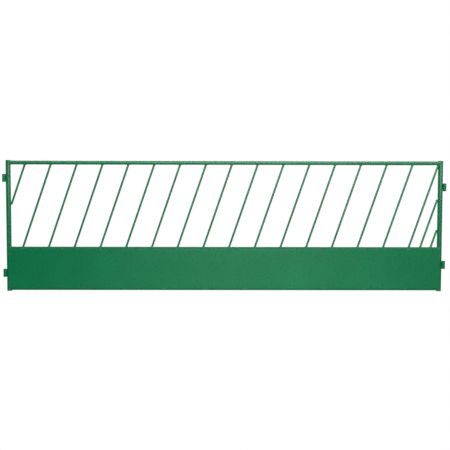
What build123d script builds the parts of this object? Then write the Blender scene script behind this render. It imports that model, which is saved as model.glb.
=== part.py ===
from build123d import *
import math
import os

# A slant-bar hay feeder panel for sheep and goats, welded from steel tube, round bar and sheet.
# The animals reach their hay through the leaning gaps between the feed bars.
# Millimetres. +X runs along the panel, -Y is its front, +Z is up. The origin is on the ground,
# midway between the posts and in the plane of their axes.

# Driving dimensions
panel_width = 3048.0            # over the outer sides of the two posts, 10 ft
panel_height = 914.4            # ground to the top of the post caps, 3 ft
closed_height = 304.8           # bottom rail's underside to the middle rail's top, 1 ft
post_diameter = 33.4            # 1 in nominal pipe
post_wall = 2.6
rail_diameter = 26.7            # 3/4 in nominal pipe
rail_wall = 2.3
rail_end_inset = 5.0            # ground or cap's top to the outer side of the nearest rail
cap_height = 3.0                # domed cap above the post's cut end
cap_rim = 1.0
sheet_thickness = 2.0
sheet_edge_inset = 1.5          # sheet edge to the centreline of the rail that carries it
bar_diameter = 14.0             # solid round bar
bar_lean = 19.0                 # degrees from vertical, the heads towards +X
bar_pitch = 180.0
bar_count = 16
first_foot_x = -1408.0          # centre of the first full bar's foot, on the middle rail's top
right_infill_feet_x = (1372.0, 1445.0)
bar_end_bite = 2.5              # how far a square-cut bar end is let into the post
sleeve_diameter = 25.4
sleeve_bore = 19.4
sleeve_length = 55.0
sleeve_end_chamfer = 0.5
left_sleeves_z = (125.0, 789.4)     # centres of the sleeves, the lower one first
right_sleeves_z = (185.0, 729.4)    # one sleeve length and 5 mm away, to nest with a neighbour's
frame_weld_leg = 4.0
frame_weld_front_inset = 0.8    # these welds are dressed this far behind the posts' fronts
bar_weld_radius = 11.0          # bead round a bar's end on a rail
bar_weld_depth = 3.0            # the bead's centre below the rail's surface
short_bar_weld_radius = 9.5     # bead round a square-cut end on a post
stitch_radius = 3.0             # stitches along the sheet's edges
stitch_length = 30.0
top_stitch_count = 11           # the first one is below the first full bar's foot
top_stitch_pitch = 1.5 * bar_pitch
bottom_stitch_count = 10        # spread evenly to both sides of the middle
bottom_stitch_pitch = 279.0
side_stitch_offset = 100.0      # up and down from the sheet's middle, on the posts
sleeve_weld_length = 14.0       # spots in the valley between a sleeve and its post
sleeve_weld_inset = 1.0         # sleeve end to the nearest spot
sleeve_weld_inner_y = 2.5
sleeve_weld_outer_y = 8.0

# Derived places
post_radius = post_diameter / 2
rail_radius = rail_diameter / 2
bar_radius = bar_diameter / 2
sleeve_radius = sleeve_diameter / 2
post_axis_x = panel_width / 2 - post_radius
post_length = panel_height - cap_height
cap_dome_radius = (post_radius**2 + (cap_height - cap_rim) ** 2) / (2 * (cap_height - cap_rim))
rail_axis_y = rail_radius - post_radius         # rails and posts are flush at the front
bottom_rail_z = rail_end_inset + rail_radius
middle_rail_z = rail_end_inset + closed_height - rail_radius
top_rail_z = panel_height - rail_end_inset - rail_radius
sleeve_axis_x = panel_width / 2 + sleeve_radius
rails_z = (bottom_rail_z, middle_rail_z, top_rail_z)
sheet_bottom = bottom_rail_z + sheet_edge_inset
sheet_top = middle_rail_z - sheet_edge_inset
sheet_middle = (sheet_bottom + sheet_top) / 2
sheet_height = sheet_top - sheet_bottom
lean_sine = math.sin(math.radians(bar_lean))
lean_cosine = math.cos(math.radians(bar_lean))
lean_tangent = math.tan(math.radians(bar_lean))
foot_z = middle_rail_z + rail_radius
head_z = top_rail_z - rail_radius


def bar_x(foot_x, z):
    """X of a leaning bar's axis at height z, from the X of its foot on the middle rail's top."""
    return foot_x + (z - foot_z) * lean_tangent


def bar_z(foot_x, x):
    """Height at which a leaning bar's axis reaches x."""
    return foot_z + (x - foot_x) / lean_tangent


def lean_plane(foot_x, z):
    """Plane square to a leaning bar, at the height z of its axis."""
    return Plane(
        origin=(bar_x(foot_x, z), rail_axis_y, z),
        x_dir=(lean_cosine, 0, -lean_sine),
        z_dir=(lean_sine, 0, lean_cosine),
    )


def save(part, name):
    """Label a finished piece and write its STEP file."""
    part.label = name
    export_step(part, f"parts/{name}.step")


os.makedirs("parts", exist_ok=True)

# Full-round envelopes that the other pieces are cut to
with BuildPart() as frame_envelope:
    for rail_z in rails_z:
        with BuildSketch(Plane.YZ.offset(-post_axis_x)):
            with Locations((rail_axis_y, rail_z)):
                Circle(rail_radius)
        extrude(amount=2 * post_axis_x)
    for side in (-1, 1):
        with BuildSketch(Plane(origin=(side * post_axis_x, 0, 0))):
            Circle(post_radius)
        extrude(amount=post_length)

# The space within a weld's reach of the posts, just behind their front plane
with BuildPart() as post_reach:
    for side in (-1, 1):
        with BuildSketch(Plane(origin=(side * post_axis_x, 0, 0))):
            Circle(post_radius + frame_weld_leg)
            with Locations((0, frame_weld_front_inset - post_radius)):
                Rectangle(
                    4 * post_radius,
                    2 * frame_weld_leg,
                    align=(Align.CENTER, Align.MAX),
                    mode=Mode.SUBTRACT,
                )
        extrude(amount=post_length)

# Posts: round tube, open at the ground
for side, side_name in ((-1, "left"), (1, "right")):
    with BuildPart() as post:
        with BuildSketch(Plane(origin=(side * post_axis_x, 0, 0))):
            Circle(post_radius)
            Circle(post_radius - post_wall, mode=Mode.SUBTRACT)
        extrude(amount=post_length)
    save(post.part, f"{side_name}_post")

    # Domed cap on the post's cut end
    with BuildPart() as post_cap:
        with BuildSketch(Plane.XZ):
            with BuildLine():
                Polyline((0, cap_height), (0, 0), (post_radius, 0), (post_radius, cap_rim))
                RadiusArc((0, cap_height), (post_radius, cap_rim), cap_dome_radius)
            make_face()
        revolve(axis=Axis.Z)
    save(post_cap.part.moved(Location((side * post_axis_x, 0, post_length))), f"{side_name}_post_cap")

# Rails: round tube, coped to the posts at both ends
for rail_z, rail_name in zip(rails_z, ("bottom_rail", "middle_rail", "top_rail")):
    with BuildPart() as rail:
        with BuildSketch(Plane.YZ.offset(-post_axis_x)):
            with Locations((rail_axis_y, rail_z)):
                Circle(rail_radius)
                Circle(rail_radius - rail_wall, mode=Mode.SUBTRACT)
        extrude(amount=2 * post_axis_x)
        with Locations((-post_axis_x, 0, rail_z), (post_axis_x, 0, rail_z)):
            Cylinder(post_radius, 2 * rail_diameter, mode=Mode.SUBTRACT)
    save(rail.part, rail_name)

# Throat panel: sheet lapped on the front of the frame, from post centreline to post centreline
with BuildPart() as throat_panel:
    with BuildSketch(Plane.XZ.offset(post_radius)):
        with Locations((0, sheet_middle)):
            Rectangle(2 * post_axis_x, sheet_height)
    extrude(amount=sheet_thickness)
save(throat_panel.part, "throat_panel")

# Feed bars: both ends cut to the rails, and the last head to the corner with the right post
full_feet_x = [first_foot_x + index * bar_pitch for index in range(bar_count)]
for number, foot_x in enumerate(full_feet_x, start=1):
    with BuildPart() as feed_bar:
        with BuildSketch(lean_plane(foot_x, middle_rail_z)):
            Circle(bar_radius)
        extrude(amount=(top_rail_z - middle_rail_z) / lean_cosine)
        add(frame_envelope.part, mode=Mode.SUBTRACT)
    save(feed_bar.part, f"feed_bar_{number:02d}")

# Short bars: one end cut to a rail, the other cut square and let into a post's inner side
square_end_x = post_axis_x - post_radius + bar_end_bite - bar_radius * lean_cosine
left_foot_x = first_foot_x - bar_pitch
left_end_z = bar_z(left_foot_x, -square_end_x)
with BuildPart() as left_short_bar:
    with BuildSketch(lean_plane(left_foot_x, left_end_z)):
        Circle(bar_radius)
    extrude(amount=(top_rail_z - left_end_z) / lean_cosine)
    add(frame_envelope.part, mode=Mode.SUBTRACT)
save(left_short_bar.part, "left_short_bar")

for foot_x, bar_name in zip(right_infill_feet_x, ("right_short_bar_tall", "right_short_bar_low")):
    with BuildPart() as right_short_bar:
        with BuildSketch(lean_plane(foot_x, middle_rail_z)):
            Circle(bar_radius)
        extrude(amount=(bar_z(foot_x, square_end_x) - middle_rail_z) / lean_cosine)
        add(frame_envelope.part, mode=Mode.SUBTRACT)
    save(right_short_bar.part, bar_name)

# Pin sleeves: short upright tubes that touch the outer sides of the posts
sleeve_places = []
for side, side_name, heights in ((-1, "left", left_sleeves_z), (1, "right", right_sleeves_z)):
    for sleeve_z, level in zip(heights, ("lower", "upper")):
        sleeve_places.append((side * sleeve_axis_x, sleeve_z))
        with BuildPart() as sleeve:
            with BuildSketch(Plane(origin=(side * sleeve_axis_x, 0, sleeve_z - sleeve_length / 2))):
                Circle(sleeve_radius)
                Circle(sleeve_bore / 2, mode=Mode.SUBTRACT)
            extrude(amount=sleeve_length)
            edges_at_ends = sleeve.edges().filter_by(GeomType.CIRCLE)
            chamfer(edges_at_ends.group_by(SortBy.RADIUS)[-1], length=sleeve_end_chamfer)
        save(sleeve.part, f"{side_name}_{level}_sleeve")

# Welds between the rails and the posts, ground down at the front and open round the last bar
with BuildPart() as frame_welds:
    for side in (-1, 1):
        for rail_z in rails_z:
            with BuildSketch(Plane.YZ.offset(side * post_axis_x)):
                with Locations((rail_axis_y, rail_z)):
                    Circle(rail_radius + frame_weld_leg)
            extrude(amount=-side * (post_radius + frame_weld_leg))
    add(post_reach.part, mode=Mode.INTERSECT)
    add(frame_envelope.part, mode=Mode.SUBTRACT)
    add(feed_bar.part, mode=Mode.SUBTRACT)
save(frame_welds.part, "frame_welds")

# Beads round the feet and the heads of the bars
feet_x = full_feet_x + list(right_infill_feet_x)
heads_x = [left_foot_x] + full_feet_x
for bars_x, end_z, depth_direction, weld_name in (
    (feet_x, foot_z, -1, "bar_foot_welds"),
    (heads_x, head_z, 1, "bar_head_welds"),
):
    bead_z = end_z + depth_direction * bar_weld_depth
    with BuildPart() as bar_welds:
        with Locations(*[(bar_x(foot_x, bead_z), rail_axis_y, bead_z) for foot_x in bars_x]):
            Sphere(bar_weld_radius)
        for foot_x in bars_x:
            with BuildSketch(lean_plane(foot_x, end_z)):
                Circle(bar_radius)
            extrude(amount=2 * bar_weld_radius, both=True, mode=Mode.SUBTRACT)
        add(frame_envelope.part, mode=Mode.SUBTRACT)
        add(frame_welds.part, mode=Mode.SUBTRACT)
    save(bar_welds.part, weld_name)

# Beads round the square-cut ends on the posts
with BuildPart() as short_bar_welds:
    short_ends = [(left_foot_x, -square_end_x, 1)]
    short_ends += [(foot_x, square_end_x, -1) for foot_x in right_infill_feet_x]
    for foot_x, end_x, bar_direction in short_ends:
        end_z = bar_z(foot_x, end_x)
        with Locations((end_x, rail_axis_y, end_z)):
            Sphere(short_bar_weld_radius)
        with BuildSketch(lean_plane(foot_x, end_z)):
            Circle(bar_radius)
        extrude(amount=bar_direction * 2 * short_bar_weld_radius, mode=Mode.SUBTRACT)
    add(frame_envelope.part, mode=Mode.SUBTRACT)
save(short_bar_welds.part, "short_bar_welds")

# Stitch welds along the sheet's long edges on the rails and its ends on the posts: the weld metal
# stands round the sheet's edges, and none gets in behind it
top_stitches_x = [first_foot_x + index * top_stitch_pitch for index in range(top_stitch_count)]
bottom_stitches_reach = bottom_stitch_pitch * (bottom_stitch_count - 1) / 2
bottom_stitches_x = [
    index * bottom_stitch_pitch - bottom_stitches_reach for index in range(bottom_stitch_count)
]
with BuildPart() as sheet_welds:
    for stitches_x, edge_z in ((top_stitches_x, sheet_top), (bottom_stitches_x, sheet_bottom)):
        for stitch_x in stitches_x:
            with BuildSketch(Plane.YZ.offset(stitch_x - stitch_length / 2)):
                with Locations((-post_radius, edge_z)):
                    Circle(stitch_radius)
            extrude(amount=stitch_length)
    for stitch_z in (sheet_middle - side_stitch_offset, sheet_middle + side_stitch_offset):
        with BuildSketch(Plane.XY.offset(stitch_z - stitch_length / 2)):
            with Locations((-post_axis_x, -post_radius), (post_axis_x, -post_radius)):
                Circle(stitch_radius)
        extrude(amount=stitch_length)
    add(frame_envelope.part, mode=Mode.SUBTRACT)
    with Locations((0, -post_radius, sheet_middle)):
        Box(2 * post_axis_x, 2 * sheet_thickness, sheet_height, mode=Mode.SUBTRACT)
save(sheet_welds.part, "sheet_welds")

# Spot welds in the valleys between the sleeves and the posts, at each sleeve's two ends
spot_reach_z = sleeve_length / 2 - sleeve_weld_inset - sleeve_weld_length / 2
spot_y = (sleeve_weld_inner_y + sleeve_weld_outer_y) / 2
with BuildPart() as sleeve_welds:
    for sleeve_x, sleeve_z in sleeve_places:
        valley_x = math.copysign(panel_width / 2, sleeve_x)
        for spot_z in (sleeve_z - spot_reach_z, sleeve_z + spot_reach_z):
            with Locations((valley_x, -spot_y, spot_z), (valley_x, spot_y, spot_z)):
                Box(sleeve_radius, sleeve_weld_outer_y - sleeve_weld_inner_y, sleeve_weld_length)
        with Locations((sleeve_x, 0, sleeve_z)):
            Cylinder(sleeve_radius, sleeve_length, mode=Mode.SUBTRACT)
    add(frame_envelope.part, mode=Mode.SUBTRACT)
save(sleeve_welds.part, "sleeve_welds")
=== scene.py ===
import math

import bmesh
import bpy
from mathutils import Euler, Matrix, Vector, noise


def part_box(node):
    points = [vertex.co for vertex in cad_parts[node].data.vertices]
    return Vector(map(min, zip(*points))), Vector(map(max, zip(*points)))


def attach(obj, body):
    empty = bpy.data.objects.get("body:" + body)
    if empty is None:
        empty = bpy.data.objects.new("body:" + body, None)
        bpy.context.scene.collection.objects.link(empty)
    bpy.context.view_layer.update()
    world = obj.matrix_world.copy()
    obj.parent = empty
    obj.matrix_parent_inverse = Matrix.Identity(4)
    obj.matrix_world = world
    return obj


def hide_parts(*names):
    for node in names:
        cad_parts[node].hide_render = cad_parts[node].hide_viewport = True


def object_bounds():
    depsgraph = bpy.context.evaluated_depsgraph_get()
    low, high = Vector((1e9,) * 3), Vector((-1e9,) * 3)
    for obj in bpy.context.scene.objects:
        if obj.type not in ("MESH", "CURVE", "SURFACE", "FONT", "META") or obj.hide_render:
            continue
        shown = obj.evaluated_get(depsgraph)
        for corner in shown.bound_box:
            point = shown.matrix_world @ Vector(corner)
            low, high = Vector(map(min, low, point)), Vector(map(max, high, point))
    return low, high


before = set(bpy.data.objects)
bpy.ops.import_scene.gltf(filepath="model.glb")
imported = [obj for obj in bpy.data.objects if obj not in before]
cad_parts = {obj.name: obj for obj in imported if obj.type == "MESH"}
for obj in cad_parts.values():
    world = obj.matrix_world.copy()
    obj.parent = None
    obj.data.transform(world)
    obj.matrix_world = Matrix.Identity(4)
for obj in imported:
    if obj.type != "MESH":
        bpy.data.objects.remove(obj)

# Looks of a green enamelled slant-bar feeder panel: the welded tube frame stays as the CAD made
# it, and the sheet and every weld are rebuilt here with the surface that the real ones have.
# Metres. +X along the panel, -Y its front, +Z up.

BODY = "root"

# The full bars' lean and number, which the frame's boxes don't tell
BAR_LEAN = math.radians(19.0)
BAR_COUNT = 16

cad_low, cad_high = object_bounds()


# ---------------------------------------------------------------- places read from the frame

def box_middle(node):
    low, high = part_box(node)
    return (low + high) / 2


def box_size(node):
    low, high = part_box(node)
    return high - low


left_post_middle = box_middle("left_post")
right_post_middle = box_middle("right_post")
POST_RADIUS = box_size("left_post").x / 2
RAIL_RADIUS = box_size("top_rail").z / 2
BAR_RADIUS = box_size("feed_bar_01").y / 2
rail_middles = {name: box_middle(name) for name in ("bottom_rail", "middle_rail", "top_rail")}
foot_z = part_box("middle_rail")[1].z
head_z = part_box("top_rail")[0].z
rail_y = rail_middles["middle_rail"].y
sheet_low, sheet_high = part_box("throat_panel")
SHEET_THICKNESS = sheet_high.y - sheet_low.y

lean_axis = Vector((math.sin(BAR_LEAN), 0, math.cos(BAR_LEAN)))
full_bar_size = box_size("feed_bar_01")
full_bar_middles = [
    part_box(f"feed_bar_{number:02d}")[0] + full_bar_size / 2 for number in range(1, BAR_COUNT + 1)
]


def on_axis(point, z):
    """The point at height z of the leaning axis through a point."""
    return point + lean_axis * ((z - point.z) / lean_axis.z)


foot_points = [on_axis(middle, foot_z) for middle in full_bar_middles]
head_points = [on_axis(middle, head_z) for middle in full_bar_middles]
foot_offset = foot_points[0].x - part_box("feed_bar_01")[0].x
head_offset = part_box("feed_bar_01")[1].x - head_points[0].x
for name in ("right_short_bar_tall", "right_short_bar_low"):
    foot_points.append(Vector((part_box(name)[0].x + foot_offset, rail_y, foot_z)))
head_points.insert(0, Vector((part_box("left_short_bar")[1].x - head_offset, rail_y, head_z)))


# ---------------------------------------------------------------- materials

def new_material(name):
    """A node material with nothing but its output: the material, its tree and the output node."""
    material = bpy.data.materials.new(name)
    material.use_nodes = True
    tree = material.node_tree
    tree.nodes.clear()
    return material, tree, tree.nodes.new("ShaderNodeOutputMaterial")


def noise_node(tree, vector, scale, detail=3.0, roughness=0.5, distortion=0.0):
    node = tree.nodes.new("ShaderNodeTexNoise")
    node.inputs["Scale"].default_value = scale
    node.inputs["Detail"].default_value = detail
    node.inputs["Roughness"].default_value = roughness
    node.inputs["Distortion"].default_value = distortion
    tree.links.new(vector, node.inputs["Vector"])
    return node.outputs["Fac"]


def object_vector(tree, stretch=(1, 1, 1)):
    """Object coordinates, stretched along the axes so that a pattern can run one way."""
    coordinates = tree.nodes.new("ShaderNodeTexCoord")
    mapping = tree.nodes.new("ShaderNodeMapping")
    mapping.inputs["Scale"].default_value = stretch
    tree.links.new(coordinates.outputs["Object"], mapping.inputs["Vector"])
    return mapping.outputs["Vector"]


def ramp_node(tree, value, low, high, low_out=0.0, high_out=1.0, smooth=True):
    """value from low..high to low_out..high_out, held at both ends."""
    node = tree.nodes.new("ShaderNodeMapRange")
    node.interpolation_type = "SMOOTHSTEP" if smooth else "LINEAR"
    node.inputs["From Min"].default_value = low
    node.inputs["From Max"].default_value = high
    node.inputs["To Min"].default_value = low_out
    node.inputs["To Max"].default_value = high_out
    tree.links.new(value, node.inputs["Value"])
    return node.outputs["Result"]


def mix_colour(tree, factor, first, second):
    """A mix of two colours, each a tuple or a socket, by a factor socket."""
    node = tree.nodes.new("ShaderNodeMix")
    node.data_type = "RGBA"
    tree.links.new(factor, node.inputs["Factor"])
    for socket, colour in ((node.inputs[6], first), (node.inputs[7], second)):
        if isinstance(colour, tuple):
            socket.default_value = (*colour, 1.0)
        else:
            tree.links.new(colour, socket)
    return node.outputs[2]


def add_bump(tree, height, strength, distance, normal=None):
    node = tree.nodes.new("ShaderNodeBump")
    node.inputs["Strength"].default_value = strength
    node.inputs["Distance"].default_value = distance
    tree.links.new(height, node.inputs["Height"])
    if normal is not None:
        tree.links.new(normal, node.inputs["Normal"])
    return node.outputs["Normal"]


def multiply(tree, first, second):
    node = tree.nodes.new("ShaderNodeMath")
    node.operation = "MULTIPLY"
    tree.links.new(first, node.inputs[0])
    tree.links.new(second, node.inputs[1])
    return node.outputs[0]


# Linear colours of the enamel
GREEN_DEEP = (0.0014, 0.152, 0.054)
GREEN_FULL = (0.0020, 0.166, 0.060)
GREEN_THIN = (0.0050, 0.190, 0.074)
GREEN_SCUFF = (0.0600, 0.240, 0.130)
STEEL = (0.120, 0.115, 0.105)

# Noise scales, in waves per metre
PEEL_SCALE = 420.0              # orange peel, about 2.4 mm from bump to bump
BLOTCH_SCALE = 3.2              # broad unevenness of the paint
MOTTLE_SCALE = 60.0             # cloudy spray
RUB_SCALE = 140.0               # where a sharp edge is rubbed
CHIP_SCALE = 320.0              # chips at the posts' feet

# Where each noise starts to show and where it shows in full
THIN_START, THIN_FULL = 0.62, 0.72      # the start is lowered by the share of thin paint
MOTTLE_RANGE = (0.52, 0.80)
ROUGH_RANGE = (0.30, 0.75)
SHARP_RANGE = (0.53, 0.66)              # of a sharp edge's pointiness
RUB_RANGE = (0.42, 0.66)
CHIP_RANGE = (0.52, 0.60)

MOTTLE_SHARE = 0.30             # how far mottle turns the paint to its thin colour
ROUGH_SPREAD = 0.14             # roughness that mottle adds
COAT_ROUGHNESS = 0.12
GRAIN_HEIGHT = 0.0006
PEEL_HEIGHT = 0.00012


def enamel(
    name, stretch, *, grain, grain_scale, peel, roughness, thin_share,
    wear_height=None, rub=0.0, gloss=0.5, coat=0.25, tone=1.0,
):
    """Sprayed gloss enamel on steel: broad blotches, orange peel, the steel's grain and scuffs.

    stretch runs the grain along an axis, grain and peel are the strengths of the grain and of
    the orange peel, thin_share is how much of the surface has thin paint, wear_height is the
    height below which the ground has chipped the paint off, rub is how far sharp edges are
    rubbed thin, gloss and coat are the strengths of the two reflections, and tone scales the
    paint's colour."""
    material, tree, output = new_material(name)
    shader = tree.nodes.new("ShaderNodeBsdfPrincipled")
    tree.links.new(shader.outputs["BSDF"], output.inputs["Surface"])
    plain = object_vector(tree)
    along = object_vector(tree, stretch)
    blotch = noise_node(tree, plain, BLOTCH_SCALE, detail=2.0, roughness=0.45, distortion=0.3)
    thin = ramp_node(tree, blotch, THIN_START - thin_share, THIN_FULL)
    deep = tuple(tone * part for part in GREEN_DEEP)
    full = tuple(tone * part for part in GREEN_FULL)
    colour = mix_colour(tree, thin, deep, full)
    mottle = noise_node(tree, plain, MOTTLE_SCALE, detail=5.0, roughness=0.6)
    mottled = ramp_node(tree, mottle, *MOTTLE_RANGE, 0.0, MOTTLE_SHARE)
    colour = mix_colour(tree, mottled, colour, GREEN_THIN)
    rough = ramp_node(
        tree, mottle, *ROUGH_RANGE, roughness, roughness + ROUGH_SPREAD, smooth=False
    )

    if rub > 0:
        geometry = tree.nodes.new("ShaderNodeNewGeometry")
        edge = ramp_node(tree, geometry.outputs["Pointiness"], *SHARP_RANGE)
        rub_noise = noise_node(tree, plain, RUB_SCALE, detail=4.0, roughness=0.7)
        rubbed = multiply(tree, edge, ramp_node(tree, rub_noise, *RUB_RANGE, 0.0, rub))
        colour = mix_colour(tree, rubbed, colour, GREEN_SCUFF)
    if wear_height is not None:
        separate = tree.nodes.new("ShaderNodeSeparateXYZ")
        tree.links.new(plain, separate.inputs["Vector"])
        low = ramp_node(tree, separate.outputs["Z"], 0.0, wear_height, 1.0, 0.0)
        chips = noise_node(tree, plain, CHIP_SCALE, detail=6.0, roughness=0.75)
        chipped = multiply(tree, low, ramp_node(tree, chips, *CHIP_RANGE))
        colour = mix_colour(tree, chipped, colour, STEEL)

    tree.links.new(colour, shader.inputs["Base Color"])
    tree.links.new(rough, shader.inputs["Roughness"])
    shader.inputs["Specular IOR Level"].default_value = gloss
    shader.inputs["Coat Weight"].default_value = coat
    shader.inputs["Coat Roughness"].default_value = COAT_ROUGHNESS

    grain_height = noise_node(tree, along, grain_scale, detail=4.0, roughness=0.55)
    normal = add_bump(tree, grain_height, grain, GRAIN_HEIGHT)
    peel_height = noise_node(tree, plain, PEEL_SCALE, detail=1.0, roughness=0.4)
    normal = add_bump(tree, peel_height, peel, PEEL_HEIGHT, normal)
    tree.links.new(normal, shader.inputs["Normal"])
    return material


# Stretches that run the grain along the steel
UPRIGHT = (1, 1, 0.08)
LEVEL = (0.08, 1, 1)

upright_enamel = enamel(
    "post_enamel", UPRIGHT, grain=0.03, grain_scale=90.0, peel=0.07, roughness=0.20,
    thin_share=0.28, wear_height=0.020, gloss=0.42, coat=0.18,
)
rail_enamel = enamel(
    "rail_enamel", LEVEL, grain=0.03, grain_scale=90.0, peel=0.05, roughness=0.33,
    thin_share=0.28, tone=1.05,
)
dull_rail_enamel = enamel(
    "dull_rail_enamel", LEVEL, grain=0.05, grain_scale=90.0, peel=0.15, roughness=0.46,
    thin_share=0.12, gloss=0.18, coat=0.0,
)
bar_enamel = enamel(
    "bar_enamel", (1, 1, 0.10), grain=0.02, grain_scale=140.0, peel=0.05, roughness=0.24,
    thin_share=0.28, gloss=0.46, tone=1.12,
)
sleeve_enamel = enamel(
    "sleeve_enamel", (1, 1, 0.15), grain=0.05, grain_scale=110.0, peel=0.12, roughness=0.34,
    thin_share=0.06, gloss=0.25, coat=0.05,
)
cap_enamel = enamel(
    "cap_enamel", (1, 1, 1), grain=0.06, grain_scale=60.0, peel=0.15, roughness=0.28,
    thin_share=0.10, rub=0.5,
)
weld_enamel = enamel(
    "weld_enamel", (1, 1, 1), grain=0.12, grain_scale=260.0, peel=0.12, roughness=0.27,
    thin_share=0.22,
)
sheet_enamel = enamel(
    "sheet_enamel", (0.05, 1, 1), grain=0.02, grain_scale=70.0, peel=0.05, roughness=0.24,
    thin_share=0.16, rub=0.3, gloss=0.42, coat=0.15,
)


def finish_of(node):
    """The enamel that a CAD node shows."""
    if node.endswith("_cap"):
        return cap_enamel
    if node.endswith("_post"):
        return upright_enamel
    if node in ("middle_rail", "bottom_rail"):      # they show less gloss than the top rail
        return dull_rail_enamel
    if node.endswith("_rail"):
        return rail_enamel
    if node.endswith("_sleeve"):
        return sleeve_enamel
    return bar_enamel


for name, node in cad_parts.items():
    for index in range(max(1, len(node.material_slots))):
        if index >= len(node.material_slots):
            node.data.materials.append(finish_of(name))
        node.material_slots[index].material = finish_of(name)


# ---------------------------------------------------------------- weld beads

RIPPLE_PITCH = 0.0028           # distance between a bead's ripples along it
RIPPLE_DEPTH = 0.09             # share of the bead's size that a ripple takes
RIPPLE_LAG = 0.45               # share of the pitch by which a ripple's flanks trail its crown
SWELL_DEPTH = 0.16              # share of the bead's size that a slow swell takes
SWELL_SCALE = 95.0
TAPER = 1.3                     # half widths over which an open bead's end tapers
TIP_SIZE = 0.06                 # squared size that is left at an open bead's tip
BEAD_ROUND = 12                 # points round a bead's section
BEAD_STEP = 0.0008              # distance between a bead's sections

# Each kind of bead takes its noise from a place of its own
FOOT_SEED = 0
HEAD_SEED = 40
FRAME_SEED = 90
LUMP_SEED = 200
STITCH_SEED = 300


def finished_piece(name, bm, material, replaced):
    """Turns a bmesh into a smooth-shaded piece that rides on the frame and stands for a CAD node."""
    bmesh.ops.recalc_face_normals(bm, faces=bm.faces)
    mesh = bpy.data.meshes.new(name)
    bm.to_mesh(mesh)
    bm.free()
    mesh.polygons.foreach_set("use_smooth", [True] * len(mesh.polygons))
    mesh.materials.append(material)
    piece = bpy.data.objects.new(name, mesh)
    bpy.context.scene.collection.objects.link(piece)
    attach(piece, BODY)
    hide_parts(replaced)
    return piece


def resampled(points, normals, closed):
    """The path with its points about BEAD_STEP apart, and a normal for each."""
    count = len(points)
    spans = count if closed else count - 1
    new_points, new_normals = [], []
    for index in range(spans):
        start, end = points[index], points[(index + 1) % count]
        pieces = max(1, round((end - start).length / BEAD_STEP))
        for step in range(pieces):
            share = step / pieces
            new_points.append(start.lerp(end, share))
            new_normals.append(normals[index].lerp(normals[(index + 1) % count], share).normalized())
    if not closed:
        new_points.append(points[-1].copy())
        new_normals.append(normals[-1].copy())
    return new_points, new_normals


def add_bead(bm, points, normals, half_width, half_height, closed, seed):
    """Adds a rippled weld bead along a path. normals point out of the joint."""
    points, normals = resampled(points, normals, closed)
    count = len(points)
    lengths = [0.0]
    for index in range(1, count):
        lengths.append(lengths[-1] + (points[index] - points[index - 1]).length)
    total = lengths[-1]
    rings = []
    for index in range(count):
        if closed:
            before, after = points[index - 1], points[(index + 1) % count]
        else:
            before, after = points[max(0, index - 1)], points[min(count - 1, index + 1)]
        tangent = (after - before).normalized()
        normal = (normals[index] - tangent * normals[index].dot(tangent)).normalized()
        side = tangent.cross(normal)
        ripple = abs(math.sin(math.pi * lengths[index] / RIPPLE_PITCH))
        swell = noise.noise(points[index] * SWELL_SCALE + Vector((seed, 0, 0)))
        size = 1 + RIPPLE_DEPTH * (ripple - 0.5) * 2 + SWELL_DEPTH * swell
        if not closed:
            from_end = min(lengths[index], total - lengths[index]) / (TAPER * half_width)
            size *= math.sqrt(max(TIP_SIZE, 1 - (1 - min(1.0, from_end)) ** 2))
        ring = []
        for corner in range(BEAD_ROUND):
            angle = 2 * math.pi * corner / BEAD_ROUND
            across, up = math.cos(angle), math.sin(angle)
            lag = tangent * (-RIPPLE_LAG * RIPPLE_PITCH * across * across)
            place = points[index] + side * (across * half_width * size)
            place += normal * (up * half_height * size) + lag
            ring.append(bm.verts.new(place))
        rings.append(ring)
    for index in range(count if closed else count - 1):
        ring, following = rings[index], rings[(index + 1) % count]
        for corner in range(BEAD_ROUND):
            beside = (corner + 1) % BEAD_ROUND
            bm.faces.new((ring[corner], ring[beside], following[beside], following[corner]))
    if not closed:
        for ring, place in ((rings[0], points[0]), (rings[-1], points[-1])):
            tip = bm.verts.new(place)
            for corner in range(BEAD_ROUND):
                bm.faces.new((ring[corner], ring[(corner + 1) % BEAD_ROUND], tip))


BAR_BEAD = (0.0042, 0.0026)     # half width and half height of a bead round a bar's end
BAR_PATH_STEPS = 48


def bar_end_path(point, rail_middle):
    """The closed line where a leaning bar meets a rail, with normals out of the corner."""
    side = math.copysign(1, point.z - rail_middle.z)
    across = Vector((lean_axis.z, 0, -lean_axis.x))
    points, normals = [], []
    for step in range(BAR_PATH_STEPS):
        angle = 2 * math.pi * step / BAR_PATH_STEPS
        out = across * math.cos(angle) + Vector((0, math.sin(angle), 0))
        start = point + out * BAR_RADIUS
        drop = math.sqrt(RAIL_RADIUS**2 - (start.y - rail_middle.y) ** 2)
        z = rail_middle.z + side * drop
        place = start + lean_axis * ((z - start.z) / lean_axis.z)
        rail_out = (Vector((0, place.y - rail_middle.y, place.z - rail_middle.z))).normalized()
        points.append(place)
        normals.append((out + rail_out).normalized())
    return points, normals


foot_beads = bmesh.new()
for index, point in enumerate(foot_points):
    path, outward = bar_end_path(point, rail_middles["middle_rail"])
    add_bead(foot_beads, path, outward, *BAR_BEAD, closed=True, seed=FOOT_SEED + index)
finished_piece("bar_foot_beads", foot_beads, weld_enamel, "bar_foot_welds")

head_beads = bmesh.new()
for index, point in enumerate(head_points):
    path, outward = bar_end_path(point, rail_middles["top_rail"])
    add_bead(head_beads, path, outward, *BAR_BEAD, closed=True, seed=HEAD_SEED + index)
finished_piece("bar_head_beads", head_beads, weld_enamel, "bar_head_welds")


# Beads where the rails' coped ends stand on the posts
FRAME_BEAD = (0.0046, 0.0028)
FRAME_PATH_STEPS = 96
UNDER_SHEET_Y = 0.75            # share of the rail's radius past which the sheet covers the front

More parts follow.
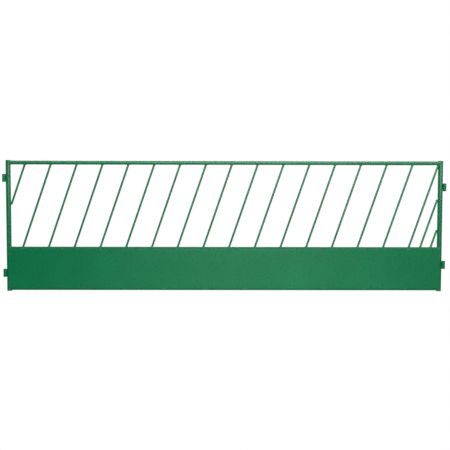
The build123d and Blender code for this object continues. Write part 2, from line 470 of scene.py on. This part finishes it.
frame_beads = bmesh.new()
for rail_middle in rail_middles.values():
    for post_middle in (left_post_middle, right_post_middle):
        inward = math.copysign(1, -post_middle.x)
        points, normals = [], []
        for step in range(FRAME_PATH_STEPS + 1):
            angle = -math.pi / 2 + 2 * math.pi * step / FRAME_PATH_STEPS
            out = Vector((0, math.sin(angle), math.cos(angle)))
            place = rail_middle + out * RAIL_RADIUS
            covered = sheet_low.z < place.z < sheet_high.z
            if covered and out.y < -UNDER_SHEET_Y:
                continue
            reach = math.sqrt(max(0.0, POST_RADIUS**2 - place.y**2))
            place.x = post_middle.x + inward * reach
            post_out = Vector((inward * reach, place.y, 0)).normalized()
            points.append(place)
            normals.append((out + post_out).normalized())
        whole = len(points) == FRAME_PATH_STEPS + 1
        if whole:               # the last point is the first one again
            points.pop()
            normals.pop()
        else:                   # the path starts just past the widest gap
            first = max(range(len(points)), key=lambda i: (points[i] - points[i - 1]).length)
            points = points[first:] + points[:first]
            normals = normals[first:] + normals[:first]
        seed = FRAME_SEED + 10 * rail_middle.z + inward
        add_bead(frame_beads, points, normals, *FRAME_BEAD, closed=whole, seed=seed)
finished_piece("frame_beads", frame_beads, weld_enamel, "frame_welds")


# Lumps of weld that hold the square-cut bar ends on the posts
LUMP_RADII = Vector((0.0042, 0.0078, 0.0098))
LUMP_TURN = 0.10                # about Y, with the bar's lean
LUMP_OUT = 0.0015               # from the post's side to the lump's middle
LUMP_ALONG = 0.0035             # from the bar's tip towards the bar, up or down
LUMP_SWELL_DEPTH = 0.14
LUMP_SWELL_SCALE = 1.6
LUMP_RIPPLE_DEPTH = 0.05


def add_lump(bm, centre, turn, seed):
    """A lumpy flattened ball of weld metal, turned about Y by an angle."""
    made = bmesh.ops.create_icosphere(bm, subdivisions=4, radius=1.0)
    spin = Euler((0, turn, 0)).to_matrix()
    for vertex in made["verts"]:
        swell = noise.noise(vertex.co * LUMP_SWELL_SCALE + Vector((seed, 0, 0)))
        ripple = math.sin(vertex.co.z * 9 + 2 * math.cos(vertex.co.y * 3))     # bent bands
        size = 1 + LUMP_SWELL_DEPTH * swell + LUMP_RIPPLE_DEPTH * ripple
        vertex.co = centre + spin @ (vertex.co * LUMP_RADII * size)


short_beads = bmesh.new()
left_tip_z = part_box("left_short_bar")[0].z
short_ends = [(left_post_middle.x + POST_RADIUS, left_tip_z + BAR_RADIUS, 1)]
for name in ("right_short_bar_tall", "right_short_bar_low"):
    short_ends.append((right_post_middle.x - POST_RADIUS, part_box(name)[1].z - BAR_RADIUS, -1))
for index, (x, z, inward) in enumerate(short_ends):
    centre = Vector((x + inward * LUMP_OUT, rail_y, z + inward * LUMP_ALONG))
    add_lump(short_beads, centre, inward * LUMP_TURN, LUMP_SEED + index)
finished_piece("short_bar_beads", short_beads, weld_enamel, "short_bar_welds")


# Stitches along the sheet's edges
STITCH_BEAD = (0.0037, 0.0027)
STITCH_LENGTH = 0.030
TOP_STITCH_COUNT = 11           # the first one is below the first full bar's foot
TOP_STITCH_PITCH = 0.270
BOTTOM_STITCH_COUNT = 10        # spread evenly to both sides of the middle
BOTTOM_STITCH_PITCH = 0.279
SIDE_STITCH_OFFSET = 0.100
STITCH_SETBACK = 0.05            # share of the sheet's thickness from its back to a stitch's middle

sheet_middle = (sheet_low + sheet_high) / 2
stitch_y = sheet_high.y - STITCH_SETBACK * SHEET_THICKNESS
stitch_reach = BOTTOM_STITCH_PITCH * (BOTTOM_STITCH_COUNT - 1) / 2
stitches = []                   # middle, direction along and direction outward of each
for index in range(TOP_STITCH_COUNT):
    x = foot_points[0].x + index * TOP_STITCH_PITCH
    stitches.append((Vector((x, stitch_y, sheet_high.z)), Vector((1, 0, 0)), Vector((0, -1, 1))))
for index in range(BOTTOM_STITCH_COUNT):
    x = index * BOTTOM_STITCH_PITCH - stitch_reach
    stitches.append((Vector((x, stitch_y, sheet_low.z)), Vector((1, 0, 0)), Vector((0, -1, -1))))
for z in (sheet_middle.z - SIDE_STITCH_OFFSET, sheet_middle.z + SIDE_STITCH_OFFSET):
    for x, out in ((sheet_low.x, -1), (sheet_high.x, 1)):
        stitches.append((Vector((x, stitch_y, z)), Vector((0, 0, 1)), Vector((out, -1, 0))))

sheet_beads = bmesh.new()
for index, (middle, along, outward) in enumerate(stitches):
    reach = along * (STITCH_LENGTH / 2)
    path = [middle - reach, middle + reach]
    outwards = [outward.normalized()] * 2
    add_bead(sheet_beads, path, outwards, *STITCH_BEAD, closed=False, seed=STITCH_SEED + index)
finished_piece("sheet_beads", sheet_beads, weld_enamel, "sheet_welds")


# Spots in the valleys between the sleeves and the posts
SPOT_BEAD = (0.0034, 0.0024)
SPOT_LENGTH = 0.014
SPOT_INSET = 0.001              # from the sleeve's end to the spot
SPOT_DEPTH = 0.0062             # from the line where sleeve and post touch, to the front and back

sleeve_beads = bmesh.new()
for name in ("left_upper_sleeve", "left_lower_sleeve", "right_upper_sleeve", "right_lower_sleeve"):
    low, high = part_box(name)
    x = high.x if low.x < 0 else low.x
    for out in (-1, 1):
        for z in (low.z + SPOT_INSET + SPOT_LENGTH / 2, high.z - SPOT_INSET - SPOT_LENGTH / 2):
            start = Vector((x, out * SPOT_DEPTH, z - SPOT_LENGTH / 2))
            end = Vector((x, out * SPOT_DEPTH, z + SPOT_LENGTH / 2))
            outwards = [Vector((0, out, 0))] * 2
            seed = x * 7 + z * 5 + out
            add_bead(sleeve_beads, [start, end], outwards, *SPOT_BEAD, closed=False, seed=seed)
finished_piece("sleeve_beads", sleeve_beads, weld_enamel, "sleeve_welds")


# ---------------------------------------------------------------- the sheet

# Its edges are deburred, and it is not quite flat between the rails that hold it
SHEET_CELL = 0.012
SHEET_EDGE = 0.0004             # width of the deburred edge
SHEET_BORDER = 0.0012           # narrow cells round the rim keep its shading crisp
SHEET_BOW = 0.0007              # how far the sheet wanders out of its plane
BOW_BIAS = 0.45                 # how far of it is forwards all over
WANDER_X_SCALE = 2.4
WANDER_Z_SCALE = 5.0
WANDER_SEED = 3.1


def stations(low, high):
    """Places along one side of the sheet, with a narrow cell at each end."""
    first, last = low + SHEET_BORDER, high - SHEET_BORDER
    cells = round((last - first) / SHEET_CELL)
    inner = [first + (last - first) * index / cells for index in range(cells + 1)]
    return [low, *inner, high]


sheet = bmesh.new()
sheet_xs = stations(sheet_low.x, sheet_high.x)
sheet_zs = stations(sheet_low.z, sheet_high.z)
columns, rows = len(sheet_xs) - 1, len(sheet_zs) - 1
sheet_shrink_x = 1 - 2 * SHEET_EDGE / (sheet_high.x - sheet_low.x)
sheet_shrink_z = 1 - 2 * SHEET_EDGE / (sheet_high.z - sheet_low.z)
layers = []
for y, flat in (
    (sheet_low.y + SHEET_EDGE, False),
    (sheet_low.y, True),
    (sheet_high.y, True),
    (sheet_high.y - SHEET_EDGE, False),
):
    shrink_x = sheet_shrink_x if flat else 1.0
    shrink_z = sheet_shrink_z if flat else 1.0
    grid = []
    for z in sheet_zs:
        z_share = (z - sheet_low.z) / (sheet_high.z - sheet_low.z)
        line = []
        for x in sheet_xs:
            x_share = (x - sheet_low.x) / (sheet_high.x - sheet_low.x)
            hold = math.sqrt(max(0.0, math.sin(math.pi * x_share) * math.sin(math.pi * z_share)))
            wander = noise.noise(Vector((x * WANDER_X_SCALE, WANDER_SEED, z * WANDER_Z_SCALE)))
            line.append((
                sheet_middle.x + (x - sheet_middle.x) * shrink_x,
                y - SHEET_BOW * hold * (BOW_BIAS + wander),
                sheet_middle.z + (z - sheet_middle.z) * shrink_z,
            ))
        grid.append(line)
    layers.append(grid)
front = [[sheet.verts.new(place) for place in line] for line in layers[1]]
back = [[sheet.verts.new(place) for place in line] for line in layers[2]]
for grid in (front, back):
    for row in range(rows):
        for column in range(columns):
            sheet.faces.new((
                grid[row][column], grid[row][column + 1],
                grid[row + 1][column + 1], grid[row + 1][column],
            ))


def rim_of(grid):
    """The places round a grid's rim, in order."""
    rim = [grid[0][column] for column in range(columns)]
    rim += [grid[row][columns] for row in range(rows)]
    rim += [grid[rows][column] for column in range(columns, 0, -1)]
    rim += [grid[row][0] for row in range(rows, 0, -1)]
    return rim


front_edge = [sheet.verts.new(place) for place in rim_of(layers[0])]
back_edge = [sheet.verts.new(place) for place in rim_of(layers[3])]
loops = [rim_of(front), front_edge, back_edge, rim_of(back)]
for loop, following in zip(loops, loops[1:]):
    for index in range(len(loop)):
        beside = (index + 1) % len(loop)
        sheet.faces.new((loop[index], loop[beside], following[beside], following[index]))
finished_piece("throat_sheet", sheet, sheet_enamel, "throat_panel")


# ---------------------------------------------------------------- floor, light and camera

def mix_shaders(tree, factor, first, second):
    node = tree.nodes.new("ShaderNodeMixShader")
    tree.links.new(factor, node.inputs["Fac"])
    tree.links.new(first, node.inputs[1])
    tree.links.new(second, node.inputs[2])
    return node.outputs["Shader"]


# Floor: white to the eye. To the enamel it is a faint even glow, with a brighter pool round the
# panel's foot
FLOOR_REACH = 60.0
FLOOR_SEEN = 1.0
FLOOR_GLOW = 0.05
POOL_GLOW = 0.45
POOL_MIDDLE = (0.3, -0.2)
POOL_REACH = (2.2, 1.5)

floor_mesh = bpy.data.meshes.new("floor")
floor_mesh.from_pydata(
    [(-FLOOR_REACH, -FLOOR_REACH, 0), (FLOOR_REACH, -FLOOR_REACH, 0),
     (FLOOR_REACH, FLOOR_REACH, 0), (-FLOOR_REACH, FLOOR_REACH, 0)],
    [], [(0, 1, 2, 3)],
)
floor = bpy.data.objects.new("floor", floor_mesh)
bpy.context.scene.collection.objects.link(floor)
floor_material, floor_tree, floor_output = new_material("studio_floor")
paths = floor_tree.nodes.new("ShaderNodeLightPath")
pool_place = floor_tree.nodes.new("ShaderNodeMapping")
pool_place.vector_type = "TEXTURE"
pool_place.inputs["Location"].default_value = (*POOL_MIDDLE, 0)
pool_place.inputs["Scale"].default_value = (*POOL_REACH, 1)
pool_distance = floor_tree.nodes.new("ShaderNodeVectorMath")
pool_distance.operation = "LENGTH"
floor_tree.links.new(object_vector(floor_tree), pool_place.inputs["Vector"])
floor_tree.links.new(pool_place.outputs["Vector"], pool_distance.inputs[0])
glow = ramp_node(floor_tree, pool_distance.outputs["Value"], 0.0, 1.0, POOL_GLOW, FLOOR_GLOW)
glow_node = floor_tree.nodes.new("ShaderNodeEmission")
floor_tree.links.new(glow, glow_node.inputs["Strength"])
seen_node = floor_tree.nodes.new("ShaderNodeEmission")
seen_node.inputs["Strength"].default_value = FLOOR_SEEN
floor_look = mix_shaders(
    floor_tree, paths.outputs["Is Camera Ray"],
    glow_node.outputs["Emission"], seen_node.outputs["Emission"],
)
floor_tree.links.new(floor_look, floor_output.inputs["Surface"])
floor_material.cycles.emission_sampling = "NONE"
floor_mesh.materials.append(floor_material)
floor.visible_shadow = False    # the light from below comes through it

# Surroundings: white to the eye and nearly dark to the enamel
WORLD_SEEN = 1.0
WORLD_GLOW = 0.02

world = bpy.data.worlds.new("studio")
world.use_nodes = True
world_tree = world.node_tree
world_tree.nodes.clear()
world_output = world_tree.nodes.new("ShaderNodeOutputWorld")


def new_background(strength):
    node = world_tree.nodes.new("ShaderNodeBackground")
    node.inputs["Color"].default_value = (1, 1, 1, 1)
    node.inputs["Strength"].default_value = strength
    return node.outputs["Background"]


paths = world_tree.nodes.new("ShaderNodeLightPath")
world_look = mix_shaders(
    world_tree, paths.outputs["Is Camera Ray"],
    new_background(WORLD_GLOW), new_background(WORLD_SEEN),
)
world_tree.links.new(world_look, world_output.inputs["Surface"])
bpy.context.scene.world = world


def add_softbox(name, place, size, power, shines):
    """A rectangular area light that faces the panel and isn't seen itself.

    It either shines in the gloss or only fills, as a studio flags its lamps."""
    light = bpy.data.lights.new(name, "AREA")
    light.shape = "RECTANGLE"
    light.size, light.size_y = size
    light.energy = power
    lamp = bpy.data.objects.new(name, light)
    lamp.location = place
    toward_panel = (cad_low + cad_high) / 2 - Vector(place)
    lamp.rotation_euler = toward_panel.to_track_quat("-Z", "Y").to_euler()
    lamp.visible_camera = False
    lamp.visible_glossy = shines
    lamp.visible_diffuse = not shines
    bpy.context.scene.collection.objects.link(lamp)


# Name, place, size and watts of each
FILLS = (
    ("fill_high", (0.4, -2.2, 4.2), (4.0, 1.6), 160),
    ("fill_front", (0.45, -6.0, 1.0), (2.6, 1.6), 110),
    ("fill_low", (0.3, -1.6, -2.6), (5.0, 2.0), 94),
    ("fill_left", (-5.0, -2.2, 1.2), (1.6, 2.4), 70),
    ("fill_right", (5.0, -2.2, 1.2), (1.6, 2.4), 36),
    ("fill_back", (0.0, 4.6, 2.6), (5.0, 2.0), 215),
)
SHINES = (
    ("shine_high", (0.2, -2.6, 3.0), (5.0, 1.6), 124),
    ("shine_front", (0.36, -4.6, 1.3), (2.8, 1.4), 61),
    ("shine_right", (3.6, -3.0, 1.3), (1.6, 1.4), 34),
    ("shine_back", (0.0, 4.2, 3.0), (4.4, 1.6), 120),
)
for softbox in FILLS:
    add_softbox(*softbox, shines=False)
for softbox in SHINES:
    add_softbox(*softbox, shines=True)

CAMERA_DISTANCE = 5.361         # in front of the posts' axes
CAMERA_HEIGHT = 0.760
CAMERA_SIDE = -0.032
CAMERA_YAW = math.radians(0.371)    # towards +X
CAMERA_PITCH = math.radians(3.169)  # downwards
CAMERA_ROLL = math.radians(0.112)
CAMERA_LENS = 61.37             # on a 36 mm wide sensor

camera_data = bpy.data.cameras.new("camera")
camera_data.sensor_width = 36.0
camera_data.lens = CAMERA_LENS
camera_data.clip_end = 200.0
camera = bpy.data.objects.new("camera", camera_data)
camera.location = (CAMERA_SIDE, -CAMERA_DISTANCE, CAMERA_HEIGHT)
aim = Euler((math.pi / 2 - CAMERA_PITCH, 0, -CAMERA_YAW), "XYZ").to_matrix().to_4x4()
roll = Euler((0, 0, CAMERA_ROLL), "XYZ").to_matrix().to_4x4()
camera.rotation_euler = (aim @ roll).to_euler()
bpy.context.scene.collection.objects.link(camera)
bpy.context.scene.camera = camera
bpy.context.scene.view_settings.view_transform = "Standard"
